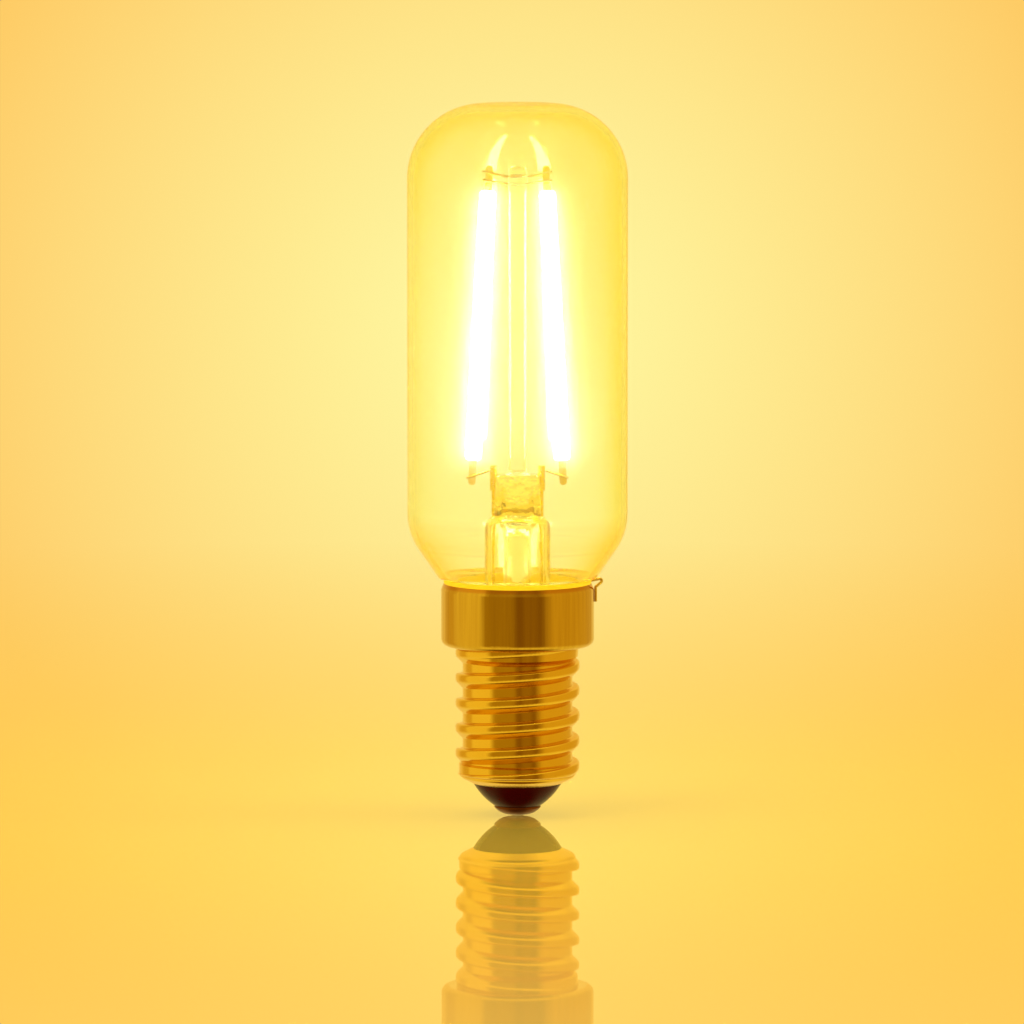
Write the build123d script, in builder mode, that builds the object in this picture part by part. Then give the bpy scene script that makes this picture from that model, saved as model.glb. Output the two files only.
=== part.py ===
"""Tubular LED filament lamp on a small screw cap. Millimetres, centre contact at the origin, +Z up to the dome."""

import math
import os

from build123d import *

os.makedirs("parts", exist_ok=True)

# Overall size, and the gap left where glass, cement or solder is fused round metal
overall_length = 79.8
seal_gap = 0.02

# Cap: the centre contact and the dark insulator, both measured up from the contact's tip
contact_radius = 2.6
contact_bore = 0.75
contact_flat = 1.0
contact_bottom = 0.16
contact_rim = 0.95
contact_top = 1.15
contact_dome = 2.2
shank_wall = 0.35
shank_length = 2.0
tip_flat = 0.28
solder_depth = 0.8
insulator_top = 5.8
insulator_dome = 7.5

# Cap: the drawn brass shell with its rolled thread and wide skirt
sheet = 0.3
shell_bottom = 3.68
roll_inset = 1.6
roll_slope = 26.5
roll_round = 0.7
band_inset = 0.395
band_top = 5.9
band_chamfer = 0.3
thread_radius = 6.945
thread_depth = 0.8
thread_pitch = 2.822
thread_start = 2.89
thread_runout = 0.25
crest_height = 0.82
crest_round_lower = 0.6
crest_round_upper = 0.35
flank_slope = 45.0
ledge_slope = 12.0
root_dip = 0.06
root_land = 0.3
root_round_lower = 0.4
root_round_upper = 0.25
neck_inset = 0.1
neck_height = 1.2
neck_draft = 0.1
neck_taper = 0.6
skirt_radius = 8.55
skirt_bottom = 19.2
skirt_height = 7.0
skirt_corner = 0.8
lip_height = 0.7
lip_inset = 0.3

# Blown glass envelope, which seats over the skirt's lip
glass_radius = 12.3
glass_wall = 0.7
top_corner = 8.3
shoulder_radius = 7.0
shoulder_angle = 34.5
seat_overhang = 0.3
seat_rise = 0.65
seat_slope = 0.25
cement_wall = 0.75

# Glass stem: flare tube, press, exhaust tube and support rod
flare_radius = 3.7
flare_wall = 0.75
flare_height = 12.9
flare_land = 0.8
flare_clearance = 0.75
flare_end = 1.0
flare_round = 1.6
press_root = 0.9
press_depth = 3.4
press_taper = 0.5
press_round = 0.9
press_height = 4.5
exhaust_radius = 1.55
exhaust_wall = 0.4
exhaust_tip_clearance = 0.6
rod_radius = 1.05
rod_foot = 0.5
rod_headroom = 6.2

# Wires of the mount
lead_clearance = 0.05
lead_radius = 0.2
lead_head_radius = 0.38
lead_head = 2.8
lead_rise = 1.0
hook_radius = 0.125
hook_drop = 0.55
hook_fall = 0.85
hook_overhang = 0.75
anchor_radius = 0.125
anchor_depths = {"upper": 1.15, "lower": 2.05}
anchor_rise = 0.5
anchor_overhang = 0.6
anchor_bend = 0.4

# Light filaments and their metal tabs
filament_radius = 0.9
filament_end_round = 0.45
filament_spread_top = 3.3
filament_spread_bottom = 4.97
filament_rise = 1.6
tab_width = 0.8
tab_length = 2.8
tab_thickness = 0.2
tab_round = 0.37

# Driver in the cap
sleeve_gap = 0.05
sleeve_wall = 0.3
sleeve_bottom = 6.2
board_gap = 0.1
board_thickness = 0.8
board_bottom = 8.0
board_top_gap = 0.6
lead_tail = 2.1
capacitor_clearance = 0.62
capacitor_length = 7.6
capacitor_rise = 2.2
capacitor_round = 0.4
capacitor_gap = 0.1
rectifier_size = (4.7, 3.9, 1.5)
rectifier_rise = 7.0
chip_size = (2.9, 1.6, 1.1)
chip_rise = 2.4
chip_shift = -2.2
resistor_size = (3.2, 1.6, 0.6)
resistor_rise = 2.4
resistor_shift = 2.2
leg_width = 0.6
leg_reach = 0.7
leg_thickness = 0.25
rectifier_leg_pitch = 2.5
chip_leg_pitch = 1.9
live_wire_radius = 0.2
live_wire_tail = 1.4

# Side wire, drawn out over the lip and welded down the skirt
side_wire_radius = 0.16
side_wire_inset = 0.8
side_wire_start = 2.0
side_wire_bend = 0.2
bow_reach = 0.85
bow_rise = 0.5
bow_drop = 0.4
tail_top = 0.45
tail_length = 1.65
wire_bed = 0.06


# Heights and radii worked out from the sizes above
thread_land_radius = thread_radius - thread_depth
thread_root_radius = thread_land_radius - root_dip
band_radius = thread_radius - band_inset
roll_edge_radius = band_radius - roll_inset
roll_rise = math.tan(math.radians(roll_slope))
band_bottom = shell_bottom + roll_inset * roll_rise
neck_radius = thread_radius - neck_inset
skirt_top = skirt_bottom + skirt_height
skirt_inner = skirt_radius - sheet
skirt_floor = skirt_bottom + sheet
lip_radius = skirt_radius - lip_inset
lip_bottom = skirt_top - lip_height
bore_radius = thread_land_radius - sheet
opening_radius = roll_edge_radius - sheet * math.sin(math.radians(45))

throat_radius = skirt_inner - cement_wall
seat_radius = skirt_radius + seat_overhang
seat_corner = skirt_top + seat_rise
seat_bottom = seat_corner - seat_slope

flare_sweep = throat_radius - flare_radius - flare_land
flare_rim_bottom = skirt_floor + flare_clearance
flare_rim_top = flare_rim_bottom + flare_wall
flare_top = flare_rim_top + flare_height
flare_inner = flare_radius - flare_wall
flare_under = flare_top - flare_end
press_top = flare_top + press_height

rod_top = overall_length - glass_wall - rod_headroom

lead_spread = flare_inner - lead_radius - lead_clearance
press_width = 2 * lead_spread
lead_top = press_top + lead_rise
lead_step = lead_top - lead_head
hook_height = lead_top - hook_drop

weld_offset = hook_radius + tab_thickness / 2 + seal_gap
filament_bottom = press_top + filament_rise
filament_top = rod_top - tab_length
filament_lean = filament_spread_top - filament_spread_bottom
filament_length = math.hypot(filament_lean, filament_top - filament_bottom)

sleeve_radius = bore_radius - sleeve_gap
sleeve_inner = sleeve_radius - sleeve_wall
board_front = -lead_radius - seal_gap
board_back = board_front - board_thickness
board_half = math.sqrt((sleeve_inner - board_gap) ** 2 - board_back**2)
board_top = skirt_bottom - board_top_gap
board_middle = (board_bottom + board_top) / 2
lead_bottom = board_top - lead_tail
capacitor_front = board_front + capacitor_gap
capacitor_radius = (sleeve_inner - capacitor_clearance - capacitor_front) / 2
capacitor_middle = capacitor_front + capacitor_radius

side_wire_spread = sleeve_inner - side_wire_inset
side_wire_gap = (throat_radius + skirt_inner) / 2
side_wire_turn = (skirt_floor + flare_rim_bottom) / 2
lip_gap = (throat_radius + lip_radius - sheet) / 2
over_lip = skirt_top + side_wire_radius + seal_gap
tail_radius = skirt_radius + side_wire_radius + seal_gap


def export(piece, name):
    """Label one finished piece and write its file."""
    piece.part.label = name
    export_step(piece.part, f"parts/{name}.step")


def filament_plane(side, along):
    """A plane across one filament, that far up its leaning axis from its lower end."""
    lean = side * filament_lean / filament_length
    rise = (filament_top - filament_bottom) / filament_length
    foot = (side * filament_spread_bottom, weld_offset, filament_bottom)
    return Plane(origin=foot, x_dir=(0, 1, 0), z_dir=(lean, 0, rise)).offset(along)


# Brass shell: the rolled thread is a ridge swept up a helix and fused to a plain core
thread_middle = (thread_radius + thread_root_radius) / 2
ridge_depth = thread_radius - thread_root_radius
crest_low = thread_start - crest_height / 2
crest_high = thread_start + crest_height / 2
root_low = crest_low - ridge_depth * math.tan(math.radians(flank_slope))
root_high = crest_high + ridge_depth * math.tan(math.radians(ledge_slope))
thread_turns = math.ceil((skirt_bottom - thread_start) / thread_pitch)
thread_top = thread_start + thread_turns * thread_pitch

with BuildPart() as cap_shell:
    with BuildSketch(Plane.XY.offset(thread_start - thread_pitch)):
        Circle(thread_land_radius)
    extrude(amount=(thread_turns + 2) * thread_pitch)
    with BuildLine() as helix:
        Helix(thread_pitch, thread_top - thread_start, thread_middle, center=(0, 0, thread_start))
    with BuildSketch(Plane.XZ) as ridge:
        with BuildLine():
            inner = thread_root_radius - sheet
            FilletPolyline(
                (inner, root_low - root_land),
                (thread_root_radius, root_low - root_land),
                (thread_root_radius, root_low),
                (thread_radius, crest_low),
                (thread_radius, crest_high),
                (thread_root_radius, root_high),
                (thread_root_radius, root_high + root_land),
                (inner, root_high + root_land),
                radius=(0, 0, root_round_lower, crest_round_lower, crest_round_upper, root_round_upper, 0, 0),
                close=True,
            )
        make_face()
    sweep(sections=ridge.sketch, path=helix.line, is_frenet=True, clean=False)
    # The ridge runs out in a cone over the plain band at the bottom
    with BuildSketch(Plane.XZ):
        with BuildLine():
            low = thread_start - 2 * thread_pitch
            core = bore_radius / 2
            far = 2 * thread_radius
            cone_middle = band_bottom + thread_runout
            cone_start = cone_middle - (band_radius - core) * roll_rise
            cone_end = cone_middle + (far - band_radius) * roll_rise
            Polyline((core, low), (core, cone_start), (far, cone_end), (far, low), close=True)
        make_face()
    revolve(axis=Axis.Z, mode=Mode.SUBTRACT, clean=False)
    split(bisect_by=Plane.XY.offset((shell_bottom + band_bottom) / 2), keep=Keep.TOP)
    # Plain band with its edge rolled in over the insulator
    with BuildSketch(Plane.XZ):
        with BuildLine():
            FilletPolyline(
                (core, shell_bottom),
                (roll_edge_radius, shell_bottom),
                (band_radius, band_bottom),
                (band_radius, band_top),
                (band_radius - 2 * band_chamfer, band_top + band_chamfer),
                (core, band_top + band_chamfer),
                radius=(0, 0, roll_round, 0, 0, 0),
                close=True,
            )
        make_face()
    revolve(axis=Axis.Z, clean=False)
    # Neck and skirt
    with BuildSketch(Plane.XZ):
        with BuildLine():
            corner = skirt_radius - skirt_corner
            Polyline(
                (core, skirt_top),
                (core, skirt_bottom - neck_height - neck_taper),
                (thread_land_radius - seal_gap, skirt_bottom - neck_height - neck_taper),
                (neck_radius - neck_draft, skirt_bottom - neck_height),
                (neck_radius, skirt_bottom),
                (corner, skirt_bottom),
            )
            RadiusArc((corner, skirt_bottom), (skirt_radius, skirt_bottom + skirt_corner), -skirt_corner)
            Polyline(
                (skirt_radius, skirt_bottom + skirt_corner),
                (skirt_radius, lip_bottom),
                (lip_radius, skirt_top),
                (core, skirt_top),
            )
        make_face()
    revolve(axis=Axis.Z, clean=False)
    # Hollow inside, one sheet thick at the skirt, the roll and the valleys of the thread
    with BuildSketch(Plane.XZ):
        with BuildLine():
            roof = skirt_top + skirt_height
            Polyline(
                (0, low),
                (opening_radius, low),
                (opening_radius, shell_bottom + roll_edge_radius - opening_radius),
                (bore_radius, band_bottom),
                (bore_radius, skirt_floor),
                (skirt_radius - skirt_corner, skirt_floor),
                (skirt_inner, skirt_bottom + skirt_corner),
                (skirt_inner, lip_bottom),
                (lip_radius - sheet, skirt_top),
                (lip_radius - sheet, roof),
                (0, roof),
                close=True,
            )
        make_face()
    revolve(axis=Axis.Z, mode=Mode.SUBTRACT, clean=False)
export(cap_shell, "cap_shell")

# Dark glass insulator, moulded round the rolled edge of the shell
with BuildPart() as insulator:
    with BuildSketch(Plane.XZ):
        with BuildLine():
            hole = contact_bore + shank_wall + seal_gap
            groove = opening_radius - seal_gap
            Line((hole, contact_top), (contact_radius, contact_top))
            RadiusArc(
                (contact_radius, contact_top),
                (roll_edge_radius, shell_bottom - seal_gap),
                -insulator_dome,
            )
            Polyline(
                (roll_edge_radius, shell_bottom - seal_gap),
                (groove, shell_bottom - seal_gap),
                (groove, shell_bottom + roll_edge_radius - opening_radius),
                (bore_radius - 2 * seal_gap, band_bottom),
                (bore_radius - 2 * seal_gap, insulator_top),
                (hole, insulator_top),
                (hole, contact_top),
            )
        make_face()
    revolve(axis=Axis.Z)
export(insulator, "insulator")

# Brass eyelet in the insulator
with BuildPart() as centre_contact:
    with BuildSketch(Plane.XZ):
        with BuildLine():
            shank_radius = contact_bore + shank_wall
            Line((contact_bore, contact_bottom), (contact_flat, contact_bottom))
            RadiusArc(
                (contact_flat, contact_bottom),
                (contact_radius, contact_rim),
                -contact_dome,
            )
            Polyline(
                (contact_radius, contact_rim),
                (contact_radius, contact_top),
                (shank_radius, contact_top),
                (shank_radius, contact_top + shank_length),
                (contact_bore, contact_top + shank_length),
                (contact_bore, contact_bottom),
            )
        make_face()
    revolve(axis=Axis.Z)
export(centre_contact, "centre_contact")

# Solder that closes the eyelet round the live wire's end
with BuildPart() as tip_solder:
    with BuildSketch(Plane.XZ):
        with BuildLine():
            plug = contact_bore - seal_gap
            Polyline((0, 0), (tip_flat, 0))
            RadiusArc((tip_flat, 0), (contact_flat, contact_bottom), -contact_dome)
            Polyline(
                (contact_flat, contact_bottom),
                (plug, contact_bottom),
                (plug, contact_bottom + solder_depth),
                (0, contact_bottom + solder_depth),
                (0, 0),
            )
        make_face()
    revolve(axis=Axis.Z)
export(tip_solder, "tip_solder")

# Clear envelope: flat top, round corner, straight tube, shoulder, seat over the lip and throat inside the skirt
shoulder = math.radians(shoulder_angle)


def envelope_outline(inset):
    """Draw the envelope's half section, this far inside its outer face, closed along the axis."""
    radius = glass_radius - inset
    top = overall_length - inset
    corner = top_corner - inset
    bend = shoulder_radius - inset
    throat = throat_radius - inset
    seat = seat_radius - inset * math.cos(shoulder)
    seat_z = seat_corner + inset * math.sin(shoulder)
    cone_top = radius - bend * (1 - math.cos(shoulder))
    bend_bottom = seat_z + (cone_top - seat) / math.tan(shoulder)
    bend_top = bend_bottom + bend * math.sin(shoulder)
    Line((0, top), (radius - corner, top))
    RadiusArc((radius - corner, top), (radius, top - corner), corner)
    Line((radius, top - corner), (radius, bend_top))
    RadiusArc((radius, bend_top), (cone_top, bend_bottom), bend)
    Polyline(
        (cone_top, bend_bottom),
        (seat, seat_z),
        (throat, seat_bottom),
        (throat, flare_rim_top),
        (0, flare_rim_top),
        (0, top),
    )


with BuildPart() as glass_envelope:
    with BuildSketch(Plane.XZ):
        with BuildLine():
            envelope_outline(0)
        make_face()
    revolve(axis=Axis.Z)
    with BuildSketch(Plane.XZ):
        with BuildLine():
            envelope_outline(glass_wall)
        make_face()
    revolve(axis=Axis.Z, mode=Mode.SUBTRACT)
export(glass_envelope, "glass_envelope")

# Glass stem: flared tube whose rim closes the throat, with the press that grips the lead wires on its closed end
with BuildPart() as stem_flare:
    with BuildSketch(Plane.XZ):
        with BuildLine():
            sweep_radius = flare_radius + flare_sweep
            sweep_height = flare_rim_top + flare_sweep
            under_radius = flare_sweep + flare_wall
            Polyline((0, flare_under), (0, flare_top), (flare_radius - flare_round, flare_top))
            RadiusArc(
                (flare_radius - flare_round, flare_top),
                (flare_radius, flare_top - flare_round),
                flare_round,
            )
            Line((flare_radius, flare_top - flare_round), (flare_radius, sweep_height))
            RadiusArc((flare_radius, sweep_height), (sweep_radius, flare_rim_top), -flare_sweep)
            Polyline(
                (sweep_radius, flare_rim_top),
                (throat_radius, flare_rim_top),
                (throat_radius, flare_rim_bottom),
                (sweep_radius, flare_rim_bottom),
            )
            RadiusArc((sweep_radius, flare_rim_bottom), (flare_inner, sweep_height), under_radius)
            Polyline((flare_inner, sweep_height), (flare_inner, flare_under), (0, flare_under))
        make_face()
    revolve(axis=Axis.Z)
    with BuildSketch(Plane.XY.offset(flare_top - press_root)):
        RectangleRounded(press_width, press_depth, press_round)
    with BuildSketch(Plane.XY.offset(press_top)):
        RectangleRounded(press_width - press_taper, press_depth - press_taper, press_round)
    loft()
    with BuildSketch(Plane.XY.offset(flare_under)):
        with Locations((-lead_spread, 0), (lead_spread, 0)):
            Circle(lead_radius + seal_gap)
    extrude(until=Until.LAST, mode=Mode.SUBTRACT)
    with BuildSketch(Plane.XY.offset(lead_step - seal_gap)):
        with Locations((-lead_spread, 0), (lead_spread, 0)):
            Circle(lead_head_radius + seal_gap)
    extrude(amount=lead_head, mode=Mode.SUBTRACT)
export(stem_flare, "stem_flare")

# Exhaust tube, sealed off at its lower tip
with BuildPart() as exhaust_tube:
    with BuildSketch(Plane.XZ):
        with BuildLine():
            tip = board_top + exhaust_tip_clearance
            bore = exhaust_radius - exhaust_wall
            Polyline(
                (0, tip),
                (exhaust_wall, tip),
                (exhaust_radius, tip + exhaust_radius),
                (exhaust_radius, flare_under),
                (bore, flare_under),
                (bore, tip + exhaust_radius),
                (0, tip + exhaust_wall),
                close=True,
            )
        make_face()
    revolve(axis=Axis.Z)
export(exhaust_tube, "exhaust_tube")

# Glass rod that carries the filaments' upper ends
with BuildPart() as support_rod:
    with BuildSketch(Plane.XZ):
        with BuildLine():
            foot = rod_radius + rod_foot
            Line((0, press_top), (foot, press_top))
            RadiusArc((foot, press_top), (rod_radius, press_top + rod_foot), rod_foot)
            Line((rod_radius, press_top + rod_foot), (rod_radius, rod_top - rod_foot))
            RadiusArc((rod_radius, rod_top - rod_foot), (rod_radius - rod_foot, rod_top), -rod_foot)
            Polyline((rod_radius - rod_foot, rod_top), (0, rod_top), (0, press_top))
        make_face()
    revolve(axis=Axis.Z)
    for depth in anchor_depths.values():
        with BuildSketch(Plane.YZ.offset(-2 * rod_radius)):
            with Locations((0, rod_top - depth)):
                Circle(anchor_radius + seal_gap)
        extrude(amount=4 * rod_radius, mode=Mode.SUBTRACT)
export(support_rod, "support_rod")

# Two wires through the rod's top, bent up a little to the tabs on both sides
for name, depth in anchor_depths.items():
    with BuildPart() as anchor_wire:
        height = rod_top - depth
        reach = filament_spread_top + anchor_overhang
        bend = rod_radius + anchor_bend
        with BuildLine() as run:
            Polyline(
                (-reach, 0, height + anchor_rise),
                (-bend, 0, height),
                (bend, 0, height),
                (reach, 0, height + anchor_rise),
            )
            fillet(run.vertices().sort_by(Axis.X)[1:3], anchor_bend)
        with BuildSketch(Plane(origin=run.line @ 0, z_dir=run.line % 0)):
            Circle(anchor_radius)
        sweep(path=run.line)
    export(anchor_wire, f"anchor_wire_{name}")

for side, name in ((-1, "left"), (1, "right")):
    # Lead wire: a thick head above the press and a thin tail down to the driver
    with BuildPart() as lead_wire:
        with BuildSketch(Plane.XY.offset(lead_bottom)):
            with Locations((side * lead_spread, 0)):
                Circle(lead_radius)
        extrude(amount=lead_top - lead_bottom)
        with BuildSketch(Plane.XY.offset(lead_step)):
            with Locations((side * lead_spread, 0)):
                Circle(lead_head_radius)
        extrude(amount=lead_head)
    export(lead_wire, f"lead_wire_{name}")

    # Cross wire from the lead's head out past the filament's lower tab
    with BuildPart() as hook_wire:
        start = lead_spread + lead_head_radius + hook_radius / 2
        reach = filament_spread_bottom + hook_overhang
        with BuildLine() as run:
            Line((side * start, 0, hook_height), (side * reach, 0, hook_height - hook_fall))
        with BuildSketch(Plane(origin=run.line @ 0, z_dir=run.line % 0)):
            Circle(hook_radius)
        sweep(path=run.line)
    export(hook_wire, f"hook_wire_{name}")

    # Filament: a coated strip of light points, leaning in towards the top
    with BuildPart() as filament:
        with BuildSketch(filament_plane(side, 0)):
            Circle(filament_radius)
        extrude(amount=filament_length)
        ends = filament.edges().filter_by(GeomType.CIRCLE)
        fillet(ends, filament_end_round)
    export(filament, f"filament_{name}")

    # Metal tabs that carry the current into both ends of the filament
    for end, along in (("lower", -tab_length), ("upper", filament_length)):
        with BuildPart() as tab:
            with BuildSketch(filament_plane(side, along)):
                Rectangle(tab_thickness, tab_width)
            extrude(amount=tab_length)
            corners = tab.edges().filter_by(Axis.Y).sort_by(Axis.Z)
            fillet(corners[:2] if end == "lower" else corners[2:], tab_round)
        export(tab, f"tab_{name}_{end}")

# Side wire: from the driver, past the flare's rim, over the skirt's lip and down its outside
with BuildPart() as side_wire:
    with BuildLine() as run:
        FilletPolyline(
            (side_wire_spread, 0, board_top - side_wire_start),
            (side_wire_spread, 0, side_wire_turn),
            (side_wire_gap, 0, side_wire_turn),
            (side_wire_gap, 0, lip_bottom),
            (lip_gap, 0, skirt_top),
            (lip_gap, 0, over_lip),
            (skirt_radius + bow_reach, 0, skirt_top + bow_rise),
            (skirt_radius + bow_reach, 0, skirt_top + bow_rise - bow_drop),
            (tail_radius, 0, skirt_top - tail_top),
            (tail_radius, 0, skirt_top - tail_top - tail_length),
            radius=side_wire_bend,
        )
    with BuildSketch(Plane(origin=run.line @ 0, z_dir=run.line % 0)):
        Circle(side_wire_radius)
    sweep(path=run.line)
export(side_wire, "side_wire")

# Cement that holds the glass throat in the skirt and beds its seat on the lip, with a slot for the side wire
with BuildPart() as cement_ring:
    with BuildSketch(Plane.XZ):
        with BuildLine():
            bed = skirt_top + seal_gap
            bed_rise = (lip_radius - throat_radius) * seat_slope / (seat_radius - throat_radius)
            Polyline(
                (throat_radius + seal_gap, flare_rim_top),
                (skirt_inner - seal_gap, flare_rim_top),
                (skirt_inner - seal_gap, lip_bottom),
                (lip_radius - sheet - seal_gap, skirt_top),
                (lip_radius - sheet - seal_gap, bed),
                (lip_radius, bed),
                (lip_radius, seat_bottom - seal_gap + bed_rise),
                (throat_radius + seal_gap, seat_bottom - seal_gap),
                close=True,
            )
        make_face()
    revolve(axis=Axis.Z)
    with BuildSketch(Plane.XY.offset(flare_rim_top)):
        with Locations((side_wire_gap, 0)):
            Rectangle(2 * cement_wall, 2 * (side_wire_radius + wire_bed))
    extrude(amount=seat_corner - flare_rim_top, mode=Mode.SUBTRACT)
export(cement_ring, "cement_ring")

# Insulating sleeve that lines the shell round the driver
with BuildPart() as insulating_sleeve:
    with BuildSketch(Plane.XY.offset(sleeve_bottom)):
        Circle(sleeve_radius)
        Circle(sleeve_inner, mode=Mode.SUBTRACT)
    extrude(amount=skirt_bottom - sleeve_bottom)
export(insulating_sleeve, "insulating_sleeve")

# Driver board, standing edge to edge in the sleeve
board_face = Plane.XZ.offset(-board_front)
board_rear = Plane.XZ.offset(-board_back)

with BuildPart() as driver_board:
    with BuildSketch(board_face):
        with Locations((0, board_middle)):
            Rectangle(2 * board_half, board_top - board_bottom)
    extrude(amount=board_thickness)
    fillet(driver_board.edges().filter_by(Axis.Y), board_thickness)
export(driver_board, "driver_board")

# Rectifier and regulator with flat legs, and the input resistor, on the board's rear
with BuildPart() as bridge_rectifier:
    width, height, depth = rectifier_size
    with BuildSketch(board_rear):
        with Locations((0, board_bottom + rectifier_rise)):
            Rectangle(width, height)
    extrude(amount=depth)
    chamfer(bridge_rectifier.faces().sort_by(Axis.Y)[0].edges(), leg_thickness)
    with BuildSketch(board_rear):
        with Locations((0, board_bottom + rectifier_rise)):
            with GridLocations(rectifier_leg_pitch, height + leg_reach, 2, 2):
                Rectangle(leg_width, leg_reach)
    extrude(amount=leg_thickness)
export(bridge_rectifier, "bridge_rectifier")

with BuildPart() as driver_chip:
    width, height, depth = chip_size
    with BuildSketch(board_rear):
        with Locations((chip_shift, board_bottom + chip_rise)):
            Rectangle(width, height)
    extrude(amount=depth)
    chamfer(driver_chip.faces().sort_by(Axis.Y)[0].edges(), leg_thickness)
    with BuildSketch(board_rear):
        with Locations((chip_shift, board_bottom + chip_rise)):
            with GridLocations(chip_leg_pitch, height + leg_reach, 2, 2):
                Rectangle(leg_width, leg_reach)
    extrude(amount=leg_thickness)
export(driver_chip, "driver_chip")

with BuildPart() as input_resistor:
    width, height, depth = resistor_size
    with BuildSketch(board_rear):
        with Locations((resistor_shift, board_bottom + resistor_rise)):
            Rectangle(width, height)
    extrude(amount=depth)
export(input_resistor, "input_resistor")

# Smoothing capacitor on the board's front
with BuildPart() as smoothing_capacitor:
    with BuildSketch(Plane.XY.offset(board_bottom + capacitor_rise)):
        with Locations((0, capacitor_middle)):
            Circle(capacitor_radius)
    extrude(amount=capacitor_length)
    fillet(smoothing_capacitor.edges().filter_by(GeomType.CIRCLE), capacitor_round)
export(smoothing_capacitor, "smoothing_capacitor")

# Live wire from the board down to the solder in the eyelet
with BuildPart() as live_wire:
    with BuildSketch(Plane.XY.offset(contact_bottom + solder_depth)):
        Circle(live_wire_radius)
    extrude(amount=board_bottom + live_wire_tail - contact_bottom - solder_depth)
export(live_wire, "live_wire")
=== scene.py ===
"""Looks of a tubular LED filament lamp with a brass screw cap, in metres and in the part's frame."""

import math

import bmesh
import bpy
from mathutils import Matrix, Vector


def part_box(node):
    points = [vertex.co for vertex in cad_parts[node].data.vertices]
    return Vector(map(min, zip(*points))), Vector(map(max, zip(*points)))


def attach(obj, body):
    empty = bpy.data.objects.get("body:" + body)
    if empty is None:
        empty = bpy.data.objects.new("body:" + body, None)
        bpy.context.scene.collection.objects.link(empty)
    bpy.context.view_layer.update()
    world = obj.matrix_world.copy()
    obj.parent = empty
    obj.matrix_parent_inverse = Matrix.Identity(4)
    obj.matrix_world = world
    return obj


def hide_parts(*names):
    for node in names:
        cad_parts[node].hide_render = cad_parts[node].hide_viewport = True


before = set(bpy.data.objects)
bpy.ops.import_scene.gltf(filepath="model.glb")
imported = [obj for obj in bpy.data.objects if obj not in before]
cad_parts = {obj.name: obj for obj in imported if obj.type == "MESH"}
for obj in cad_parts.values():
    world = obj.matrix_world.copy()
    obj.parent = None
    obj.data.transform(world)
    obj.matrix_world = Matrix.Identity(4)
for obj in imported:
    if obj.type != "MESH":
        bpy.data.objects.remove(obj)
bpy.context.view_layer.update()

MILLIMETRE = 0.001

# Screen colours: the top of their scale, and the curve from them to linear light
SCREEN_TOP = 255
TOE_END = 0.04045
TOE_SLOPE = 12.92
CURVE_SHIFT = 0.055
CURVE_POWER = 2.4
BLACK = (0, 0, 0)
WHITE = (255, 255, 255)

# Sockets of the node that mixes two colours
MIX_COLOURS = (6, 7)
MIX_RESULT = 2

# Noise: its mean, and the band that most of it lies in
NOISE_MEAN = 0.5
NOISE_LOW = 0.3
NOISE_HIGH = 0.7

# Camera, as far back and as high as the photograph's view of the cap's rings asks
CAMERA_DISTANCE = 1.0
CAMERA_HEIGHT = 0.134
AIM_ACROSS = -0.00062
AIM_HEIGHT = 0.03416
FOCAL_LENGTH = 316.15

# Bounces that light may take from glass to glass, and the most light that a bounce may add to a sample
BOUNCES = 64
BOUNCE_LIMIT = 40.0

# Floor: a round sheet that fades into the backdrop, painted lighter in its middle for the lamp's glow pooling
# on it
FLOOR_RADIUS = 0.4
FLOOR_CORNERS = 64
FLOOR_REACH = 0.12
FLOOR_FADE = (0.06, 0.3)
FLOOR_PAINTED_GLOW = (255, 213, 70)
FLOOR_EDGE = (255, 204, 62)

# Backdrop: the lamp's glow on it as seen straight, and behind glass, with angles in degrees
GLOW_ELEVATION = -4.5
GLOW_SPREAD = (0.3, 3.8)
BACKDROP_GLOW = (255, 248, 160)
BACKDROP_EDGE = (254, 204, 102)
BEHIND_SPREAD = (10.0, 70.0)
BEHIND_GLOW = (255, 252, 190)
BEHIND_EDGE = (255, 224, 92)

# White fill that lights what isn't polished
FILL_STRENGTH = 0.8

# Tones of the studio that polished metal mirrors
HALO = (255, 233, 140)
HALO_EDGE = (250, 201, 94)
BRIGHT = (255, 226, 128)
WARM = (229, 188, 78)
EDGE = (253, 217, 112)
DIM = (182, 143, 36)
DARK = (160, 118, 24)
DARKEST = (141, 98, 18)
STUDIO_PALE = (255, 230, 138)
STUDIO_BOTTOM = (120, 74, 18)

# Where those tones stand, in degrees round the lamp from the camera's side, positive to the right
FULL_TURN = 360
RAMP_MIDDLE = 0.5
STUDIO = (
    (-180, HALO),
    (-176, HALO_EDGE),
    (-168, EDGE),
    (-145, EDGE),
    (-132, WARM),
    (-116, WARM),
    (-108, BRIGHT),
    (-60, BRIGHT),
    (-50, DIM),
    (-8, DIM),
    (0, DARKEST),
    (6, DARKEST),
    (12, DARK),
    (26, DARK),
    (36, DARKEST),
    (54, WARM),
    (145, WARM),
    (155, EDGE),
    (168, EDGE),
    (176, HALO_EDGE),
    (180, HALO),
)

# Heights of a direction, from -1 to 1, between which the studio turns pale above and below, then dark
PALE_ABOVE = (0.6, 0.9)
PALE_BELOW = (-0.6, -0.3)
DARK_BELOW = (-0.95, -0.8)

# Glass to glass: the gap that keeps two faces apart, and what counts as one point or a sharp edge
HAIR = 0.02 * MILLIMETRE
SAME_POINT = 0.0001 * MILLIMETRE
SHARP_EDGE = math.radians(30)

# Film on the glass: how rough its specks are, and the clean share of each glass
FILM_ROUGHNESS = (0.3, 0.6)
ENVELOPE_CLEAN = 0.9
STEM_CLEAN = 0.97
ROD_CLEAN = 0.88

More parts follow.
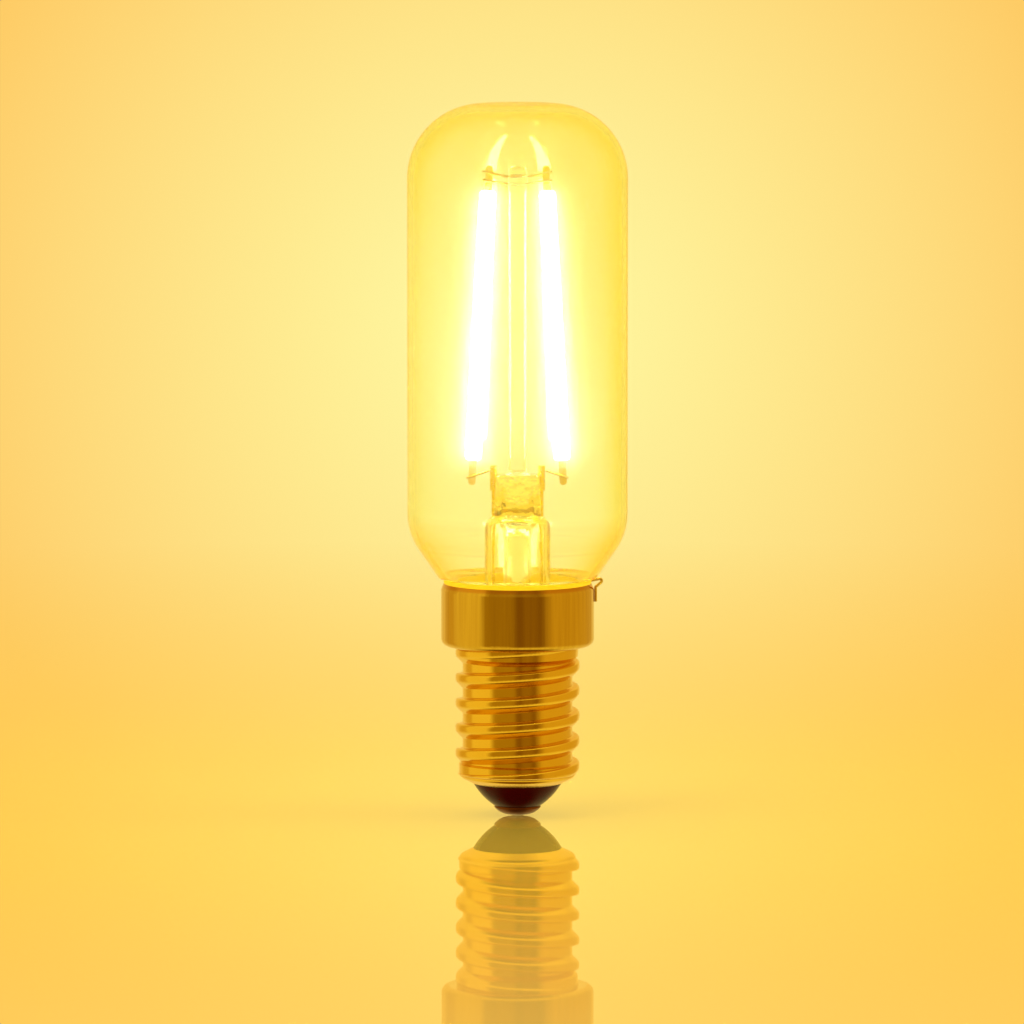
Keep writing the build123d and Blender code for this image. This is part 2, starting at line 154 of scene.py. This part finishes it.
# Colours of the glass: where it is plain, deeper and seen edge on, and what its depth leaves of the light
GLASS_PLAIN = (255, 255, 250)
GLASS_DEEPER = (255, 248, 220)
GLASS_RIM = (255, 242, 130)
ENVELOPE_DEPTH = (255, 251, 62)
STEM_DEPTH = (255, 250, 60)
ROD_DEPTH = (255, 253, 190)

# Envelope: its tint deepens upwards, and to the right as painted shade, by the lean's share, between two
# heights in millimetres
PAINTED_SHADE_LEAN = 0.8
TINT_RISE = (45.0, 76.0)

# Its rim, where the glass is seen edge on: shares of the rim's colour, and places in millimetres; across them
# the rim is painted deeper to the right, as painted shade
RIM_FACING = (0.35, 0.7)
RIM_MOST = 0.8
RIM_LEAST = 0.2
RIM_ACROSS = (-12.0, 12.0)
RIM_OUTER = (2.0, 9.0)
RIM_TOP = (62.0, 74.0)

# Press of the stem: its dents as against the drawn waviness, and in millimetres how they start and end
DENT_HEIGHT = 6.0
DENTS_START = (0.0, 1.5)
DENTS_END = (-0.5, 0.3)

# Cap: two tones each of the drawn skirt and the rolled thread, and the lip's painted darker reflection
DRAWN_BRASS = ((228, 190, 68), (200, 156, 44))
ROLLED_BRASS = ((241, 199, 67), (232, 188, 58))
LIP_PAINTED_REFLECTION = (206, 146, 44)

# How far the skirt's grain is drawn out upwards, and where the tones blend, in millimetres
DRAWN_OUT = 0.03
SKIRT_BLEND = 0.5
LIP_DEPTH = 0.4
LIP_BLEND = 0.1

# Sizes and heights of the cap and the press in millimetres, read from the frame
skirt_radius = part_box("cap_shell")[1].x / MILLIMETRE
neck_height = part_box("insulating_sleeve")[1].z / MILLIMETRE
lip_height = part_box("cap_shell")[1].z / MILLIMETRE - LIP_DEPTH
press_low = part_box("exhaust_tube")[1].z / MILLIMETRE
press_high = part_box("support_rod")[0].z / MILLIMETRE


def rgba(colour):
    """A colour given as screen values from 0 to 255, as the opaque linear colour that shaders take."""
    channels = [c / SCREEN_TOP for c in colour]
    curved = [((c + CURVE_SHIFT) / (1 + CURVE_SHIFT)) ** CURVE_POWER for c in channels]
    linear = [c / TOE_SLOPE if c <= TOE_END else bent for c, bent in zip(channels, curved)]
    return (*linear, 1.0)


class Shader:
    """A new material with a Principled shader, and short names for the nodes that feed it."""

    def __init__(self, name, **values):
        self.material = bpy.data.materials.new(name)
        self.material.use_nodes = True
        self.tree = self.material.node_tree
        self.surface = self.tree.nodes["Principled BSDF"]
        self.output = self.tree.nodes["Material Output"]
        for socket, value in values.items():
            self.set(socket.replace("_", " "), value)
        self.place = self.node("ShaderNodeTexCoord").outputs["Object"]

    def plug(self, socket, value):
        """Feed a socket from another one, or set its colour or number."""
        if isinstance(value, bpy.types.NodeSocket):
            self.tree.links.new(value, socket)
        elif isinstance(value, tuple):
            socket.default_value = rgba(value)
        else:
            socket.default_value = value

    def set(self, socket, value):
        self.plug(self.surface.inputs[socket], value)

    def node(self, kind, *ordered, **named):
        """A new node with its inputs given in their order or by name."""
        made = self.tree.nodes.new(kind)
        for socket, value in zip(made.inputs, ordered):
            self.plug(socket, value)
        for name, value in named.items():
            self.plug(made.inputs[name], value)
        return made

    def math(self, operation, first, second=0.0):
        made = self.node("ShaderNodeMath", first, second)
        made.operation = operation
        return made.outputs[0]

    def measure(self, operation, *vectors):
        made = self.node("ShaderNodeVectorMath", *vectors)
        made.operation = operation
        return made.outputs["Value"]

    def axis(self, letter):
        """The place along X, Y or Z in millimetres."""
        parts = self.node("ShaderNodeSeparateXYZ", self.place).outputs
        return self.math("DIVIDE", parts[letter], MILLIMETRE)

    def vector(self, x, y, z):
        return self.node("ShaderNodeCombineXYZ", x, y, z).outputs[0]

    def grain(self, stretch=1.0):
        """The place in millimetres, with less of its z where noise is to be drawn out along the lamp."""
        height = self.math("MULTIPLY", self.axis("Z"), stretch)
        return self.vector(self.axis("X"), self.axis("Y"), height)

    def noise(self, vector, scale, detail=3.0):
        """Noise of about that many blotches to a unit of the vector."""
        return self.node("ShaderNodeTexNoise", Vector=vector, Scale=scale, Detail=detail).outputs[0]

    def spread(self, value, low, high, start=NOISE_LOW, end=NOISE_HIGH):
        """The value carried from start..end over to low..high."""
        return self.node("ShaderNodeMapRange", value, start, end, low, high).outputs[0]

    def step(self, value, middle, reach):
        """A soft step from 0 to 1 that reaches as far below its middle as above it."""
        return self.spread(value, 0.0, 1.0, middle - reach, middle + reach)

    def mix(self, factor, first, second):
        made = self.node("ShaderNodeMix")
        made.data_type = "RGBA"
        self.plug(made.inputs[0], factor)
        for socket, colour in zip(MIX_COLOURS, (first, second)):
            self.plug(made.inputs[socket], colour)
        return made.outputs[MIX_RESULT]

    def film(self, clean):
        """Roughness of glass under a thin film: a clean share, and specks too fine to see on the rest."""
        speck = self.node("ShaderNodeTexWhiteNoise", Vector=self.place).outputs[0]
        filmed = self.math("GREATER_THAN", speck, clean)
        return self.math("MULTIPLY", filmed, self.spread(speck, *FILM_ROUGHNESS, clean, 1.0))

    def bump(self, height, strength, distance):
        """A normal bent by the height, which stands for that distance in millimetres."""
        bent = self.node("ShaderNodeBump", Strength=strength, Distance=distance * MILLIMETRE, Height=height)
        return bent.outputs[0]

    def absorb(self, colour, density):
        """Fill the piece with glass that takes this colour's opposite out of the light, by depth."""
        made = self.node("ShaderNodeVolumeAbsorption", Color=colour, Density=density)
        self.plug(self.output.inputs["Volume"], made.outputs[0])


def envelope_glass():
    glass = Shader("envelope_glass", IOR=1.46, Transmission_Weight=1.0)
    x = glass.axis("X")
    z = glass.axis("Z")
    # Painted shade: the tint is deeper towards the right side, for light falling unevenly across the glass
    leaning = glass.math("ADD", z, glass.math("MULTIPLY", x, PAINTED_SHADE_LEAN))
    tint = glass.mix(glass.spread(leaning, 0.0, 1.0, *TINT_RISE), GLASS_PLAIN, GLASS_DEEPER)
    # Painted shade: the rim's colour is laid on more strongly towards the right side
    right = glass.spread(x, RIM_LEAST, 1.0, *RIM_ACROSS)
    outer = glass.spread(glass.math("ABSOLUTE", x), RIM_LEAST, 1.0, *RIM_OUTER)
    top = glass.math("MULTIPLY", glass.spread(z, 0.0, 1.0, *RIM_TOP), outer)
    facing = glass.node("ShaderNodeLayerWeight").outputs["Facing"]
    edge_on = glass.spread(facing, 0.0, RIM_MOST, *RIM_FACING)
    rim = glass.math("MULTIPLY", edge_on, glass.math("MAXIMUM", right, top))
    glass.set("Base Color", glass.mix(rim, tint, GLASS_RIM))
    ripple = glass.noise(glass.grain(stretch=0.25), scale=0.16, detail=2.0)
    glass.set("Normal", glass.bump(ripple, strength=0.25, distance=0.1))
    glass.set("Roughness", glass.film(ENVELOPE_CLEAN))
    glass.absorb(ENVELOPE_DEPTH, density=350.0)
    return glass.material


def drawn_glass(name, dents=None):
    """Clear glass of a tube or rod with the waviness of its drawing, and with dents where it was pressed."""
    glass = Shader(name, Base_Color=WHITE, IOR=1.5, Transmission_Weight=1.0)
    height = glass.noise(glass.grain(stretch=0.3), scale=0.6, detail=2.0)
    if dents:
        height = glass.math("ADD", height, glass.math("MULTIPLY", dents(glass), DENT_HEIGHT))
    glass.set("Normal", glass.bump(height, strength=0.4, distance=0.15))
    return glass


def press_dents(glass):
    """Dents that rise and fall evenly, from the exhaust tube's end to the rod's foot."""
    z = glass.axis("Z")
    pressed = glass.math("SUBTRACT", glass.noise(glass.grain(), scale=0.9, detail=2.0), NOISE_MEAN)
    above = glass.spread(z, 0.0, 1.0, *(press_low + shift for shift in DENTS_START))
    below = glass.spread(z, 1.0, 0.0, *(press_high + shift for shift in DENTS_END))
    return glass.math("MULTIPLY", pressed, glass.math("MULTIPLY", above, below))


def stem_glass():
    glass = drawn_glass("stem_glass", press_dents)
    glass.set("Roughness", glass.film(STEM_CLEAN))
    glass.absorb(STEM_DEPTH, density=330.0)
    return glass.material


def rod_glass():
    glass = drawn_glass("rod_glass")
    glass.set("Roughness", glass.film(ROD_CLEAN))
    glass.absorb(ROD_DEPTH, density=60.0)
    return glass.material


def shell_brass():
    brass = Shader("shell_brass", Metallic=1.0)
    z = brass.axis("Z")
    angle = brass.math("ARCTAN2", brass.axis("Y"), brass.axis("X"))
    around = brass.math("MULTIPLY", angle, skirt_radius)
    drawn = brass.noise(brass.vector(around, 0.0, brass.math("MULTIPLY", z, DRAWN_OUT)), scale=2.2)
    blotch = brass.noise(brass.grain(), scale=0.35)
    skirt = brass.step(z, neck_height, SKIRT_BLEND)
    # Painted reflection: the lip is darker, for the dark surroundings that its rounded edge mirrors
    lip = brass.step(z, lip_height, LIP_BLEND)
    body = brass.mix(skirt, brass.mix(blotch, *ROLLED_BRASS), brass.mix(drawn, *DRAWN_BRASS))
    brass.set("Base Color", brass.mix(lip, body, LIP_PAINTED_REFLECTION))
    brass.set("Roughness", brass.spread(drawn, low=0.1, high=0.2))
    brass.set("Normal", brass.bump(brass.math("MULTIPLY", drawn, skirt), strength=0.3, distance=0.02))
    return brass.material


def blotched(name, tones, scale, detail=3.0, rough=None, bump=None, **values):
    """A material whose blotches mix two tones and, where given, two roughnesses and a bump."""
    look = Shader(name, **values)
    blotch = look.noise(look.grain(), scale, detail)
    look.set("Base Color", look.mix(blotch, *tones))
    if rough:
        look.set("Roughness", look.spread(blotch, *rough))
    if bump:
        look.set("Normal", look.bump(blotch, **bump))
    return look.material


def plain_metal(name, bright, dull, rough, scale):
    bump = {"strength": 0.2, "distance": 0.03}
    return blotched(name, (bright, dull), scale, rough=rough, bump=bump, Metallic=1.0)


def plain_solid(name, light, dark, rough, scale, glow=BLACK, power=0.0):
    bump = {"strength": 0.3, "distance": 0.05}
    # Painted light: any glow given here is light painted onto a piece that is no lamp
    painted_glow = {"Emission_Color": glow, "Emission_Strength": power}
    return blotched(name, (light, dark), scale, detail=5.0, rough=rough, bump=bump, **painted_glow)


def contact_brass():
    # Painted shade: the brass is darkened to brown, for the shade and dark floor that its down-facing dome
    # mirrors
    tones = ((124, 70, 20), (96, 52, 14))
    return blotched("contact_brass", tones, scale=1.5, rough=(0.28, 0.42), Metallic=1.0)


def dark_glass():
    tones = ((66, 3, 7), (50, 2, 5))
    bump = {"strength": 0.2, "distance": 0.1}
    gloss = {"IOR": 1.5, "Specular_IOR_Level": 0.1, "Specular_Tint": (255, 150, 40)}
    return blotched("dark_glass", tones, scale=0.6, rough=(0.1, 0.2), bump=bump, **gloss)


def phosphor():
    tones = ((255, 210, 110), (250, 190, 80))
    lit = {"Emission_Color": (255, 246, 226), "Emission_Strength": 22.0}
    return blotched("phosphor", tones, scale=1.2, Roughness=0.5, **lit)


def dress(material, *names):
    """Give these pieces of the frame this material."""
    for name in names:
        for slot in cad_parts[name].material_slots:
            slot.material = material


def slim_glass(material, *names):
    """Replace these glass pieces by copies a hair slimmer, so that a gap parts glass from glass."""
    for name in names:
        work = bmesh.new()
        work.from_mesh(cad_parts[name].data)
        bmesh.ops.remove_doubles(work, verts=work.verts, dist=SAME_POINT)
        work.normal_update()
        for vertex in work.verts:
            vertex.co -= HAIR * vertex.normal
        mesh = bpy.data.meshes.new(name + "_glass")
        work.to_mesh(mesh)
        work.free()
        mesh.shade_smooth()
        mesh.set_sharp_from_angle(angle=SHARP_EDGE)
        mesh.materials.append(material)
        piece = bpy.data.objects.new(mesh.name, mesh)
        bpy.context.scene.collection.objects.link(piece)
        piece.visible_shadow = False
        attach(piece, "root")
        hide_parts(name)


# Glass, which casts no shadow on what is inside it
dress(envelope_glass(), "glass_envelope")
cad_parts["glass_envelope"].visible_shadow = False
slim_glass(stem_glass(), "stem_flare")
slim_glass(rod_glass(), "exhaust_tube", "support_rod")

# Cap
dress(shell_brass(), "cap_shell")
dress(contact_brass(), "centre_contact")
dress(dark_glass(), "insulator")
solder = plain_metal("solder", bright=(170, 160, 140), dull=(120, 110, 95), rough=(0.3, 0.5), scale=2.0)
dress(solder, "tip_solder")
# The cement's glow is painted light, for the filaments' light that the stem and neck carry down onto it
cement = plain_solid(
    "cement",
    light=(222, 178, 10),
    dark=(206, 160, 6),
    rough=(0.6, 0.8),
    scale=2.0,
    glow=(255, 214, 2),
    power=0.5,
)
dress(cement, "cement_ring")

# Wires, tabs and filaments
gold = plain_metal("gold_wire", bright=(248, 230, 20), dull=(236, 208, 12), rough=(0.22, 0.38), scale=2.5)
dress(gold, "lead_wire_left", "lead_wire_right")
tab_metal = plain_metal("tab_metal", bright=(236, 214, 16), dull=(222, 196, 8), rough=(0.3, 0.45), scale=2.5)
dress(tab_metal, "tab_left_lower", "tab_left_upper", "tab_right_lower", "tab_right_upper")
dark_wire = plain_metal("dark_wire", bright=(226, 206, 76), dull=(196, 172, 56), rough=(0.3, 0.45), scale=3.0)
dress(dark_wire, "hook_wire_left", "hook_wire_right", "anchor_wire_upper", "anchor_wire_lower")
copper = plain_metal("copper_wire", bright=(250, 218, 110), dull=(230, 190, 84), rough=(0.3, 0.45), scale=3.0)
dress(copper, "side_wire", "live_wire")
dress(phosphor(), "filament_left", "filament_right")

# Driver
sleeve = plain_solid("sleeve_film", light=(226, 222, 208), dark=(212, 206, 190), rough=(0.4, 0.55), scale=1.0)
dress(sleeve, "insulating_sleeve")
board = plain_solid("board", light=(218, 222, 212), dark=(200, 206, 196), rough=(0.45, 0.6), scale=1.2)
dress(board, "driver_board")
chip = plain_solid("chip", light=(38, 38, 40), dark=(26, 26, 28), rough=(0.5, 0.65), scale=4.0)
dress(chip, "bridge_rectifier", "driver_chip")
resistor = plain_solid("resistor", light=(30, 30, 32), dark=(22, 22, 22), rough=(0.45, 0.6), scale=4.0)
dress(resistor, "input_resistor")
capacitor = plain_solid("capacitor", light=(36, 40, 60), dark=(28, 30, 46), rough=(0.2, 0.35), scale=1.5)
dress(capacitor, "smoothing_capacitor")


# Floor
def floor_material():
    paint = Shader("floor_paint", Roughness=0.015, IOR=1.45, Metallic=0.42)
    distance = paint.measure("LENGTH", paint.place)
    outwards = paint.spread(distance, 0.0, 1.0, 0.0, FLOOR_REACH)
    # Painted light: the middle of the floor is lighter, for the lamp's glow on it
    paint.set("Base Color", paint.mix(outwards, FLOOR_PAINTED_GLOW, FLOOR_EDGE))
    paint.set("Alpha", paint.spread(distance, 1.0, 0.0, *FLOOR_FADE))
    return paint.material


bpy.ops.mesh.primitive_circle_add(vertices=FLOOR_CORNERS, radius=FLOOR_RADIUS, fill_type="NGON")
floor = bpy.context.object
floor.name = "floor"
floor.data.materials.append(floor_material())
floor.visible_glossy = False


# World: the glowing backdrop straight and through glass, the studio for metal, a white fill for the rest
class World(Shader):
    """The studio's world, with the same short names for its nodes."""

    def __init__(self):
        world = bpy.data.worlds.new("studio")
        bpy.context.scene.world = world
        world.use_nodes = True
        self.tree = world.node_tree
        self.fill = self.tree.nodes["Background"]
        self.output = self.tree.nodes["World Output"]
        self.place = self.node("ShaderNodeTexCoord").outputs["Generated"]

    def ramp(self, value, stops):
        """Colours at places from 0 to 1 along the value."""
        made = self.node("ShaderNodeValToRGB", value)
        elements = made.color_ramp.elements
        while len(elements) < len(stops):
            elements.new(RAMP_MIDDLE)
        for element, (place, colour) in zip(elements, stops):
            element.position = place
            element.color = rgba(colour)
        return made.outputs[0]

    def glow(self, distance, angles, middle, edge):
        """A glow that fades between two angles from its middle."""
        return self.mix(self.spread(distance, 0.0, 1.0, *map(math.radians, angles)), middle, edge)

    def studio(self):
        """The tones round the lamp, paler above and below and dark at the bottom."""
        x, y, z = self.node("ShaderNodeSeparateXYZ", self.place).outputs
        turn = self.math("ARCTAN2", x, self.math("MULTIPLY", y, -1.0))
        around = self.spread(turn, 0.0, 1.0, -math.pi, math.pi)
        cards = self.ramp(around, [(RAMP_MIDDLE + angle / FULL_TURN, tone) for angle, tone in STUDIO])
        upper = self.mix(self.spread(z, 0.0, 1.0, *PALE_ABOVE), cards, STUDIO_PALE)
        lower = self.mix(self.spread(z, 1.0, 0.0, *PALE_BELOW), upper, STUDIO_PALE)
        return self.mix(self.spread(z, 1.0, 0.0, *DARK_BELOW), lower, STUDIO_BOTTOM)


def build_world():
    world = World()
    rise = math.radians(GLOW_ELEVATION)
    away = world.measure("DISTANCE", world.place, world.vector(0.0, math.cos(rise), math.sin(rise)))
    near = world.glow(away, GLOW_SPREAD, BACKDROP_GLOW, BACKDROP_EDGE)
    far = world.glow(away, BEHIND_SPREAD, BEHIND_GLOW, BEHIND_EDGE)
    rays = world.node("ShaderNodeLightPath").outputs
    through = world.math("GREATER_THAN", rays["Transmission Depth"], 0.0)
    clear = world.math("MAXIMUM", through, rays["Is Singular Ray"])
    mirrored = world.math("MULTIPLY", rays["Is Glossy Ray"], world.math("SUBTRACT", 1.0, clear))
    seen = world.math("MAXIMUM", world.math("MAXIMUM", rays["Is Camera Ray"], clear), mirrored)
    world.plug(world.fill.inputs["Color"], WHITE)
    world.plug(world.fill.inputs["Strength"], FILL_STRENGTH)
    colours = world.mix(mirrored, world.mix(through, near, far), world.studio())
    picture = world.node("ShaderNodeBackground", colours)
    shown = world.node("ShaderNodeMixShader", seen, world.fill.outputs[0], picture.outputs[0])
    world.plug(world.output.inputs["Surface"], shown.outputs[0])


build_world()


# Soft lamps
def soft_lamp(name, place, size, power):
    lamp = bpy.data.lights.new(name, "AREA")
    lamp.size = size
    lamp.energy = power
    holder = bpy.data.objects.new(name, lamp)
    holder.location = place
    aim = Vector((0, 0, AIM_HEIGHT)) - Vector(place)
    holder.rotation_euler = aim.to_track_quat("-Z", "Y").to_euler()
    holder.visible_glossy = False
    holder.visible_transmission = False
    bpy.context.scene.collection.objects.link(holder)


soft_lamp("key_lamp", place=(-0.7, -0.5, 0.9), size=0.7, power=5.0)
soft_lamp("side_lamp", place=(0.9, -0.1, 0.6), size=0.6, power=3.0)


# Camera
camera_data = bpy.data.cameras.new("camera")
camera_data.lens = FOCAL_LENGTH
camera = bpy.data.objects.new("camera", camera_data)
camera.location = (AIM_ACROSS, -CAMERA_DISTANCE, CAMERA_HEIGHT)
aim = Vector((AIM_ACROSS, 0, AIM_HEIGHT)) - camera.location
camera.rotation_euler = aim.to_track_quat("-Z", "Y").to_euler()
bpy.context.scene.collection.objects.link(camera)
bpy.context.scene.camera = camera
bpy.context.scene.view_settings.view_transform = "Standard"

# Light passes many glass faces before it leaves the lamp
bpy.context.scene.cycles.max_bounces = BOUNCES
bpy.context.scene.cycles.transmission_bounces = BOUNCES
bpy.context.scene.cycles.glossy_bounces = BOUNCES
bpy.context.scene.cycles.sample_clamp_indirect = BOUNCE_LIMIT
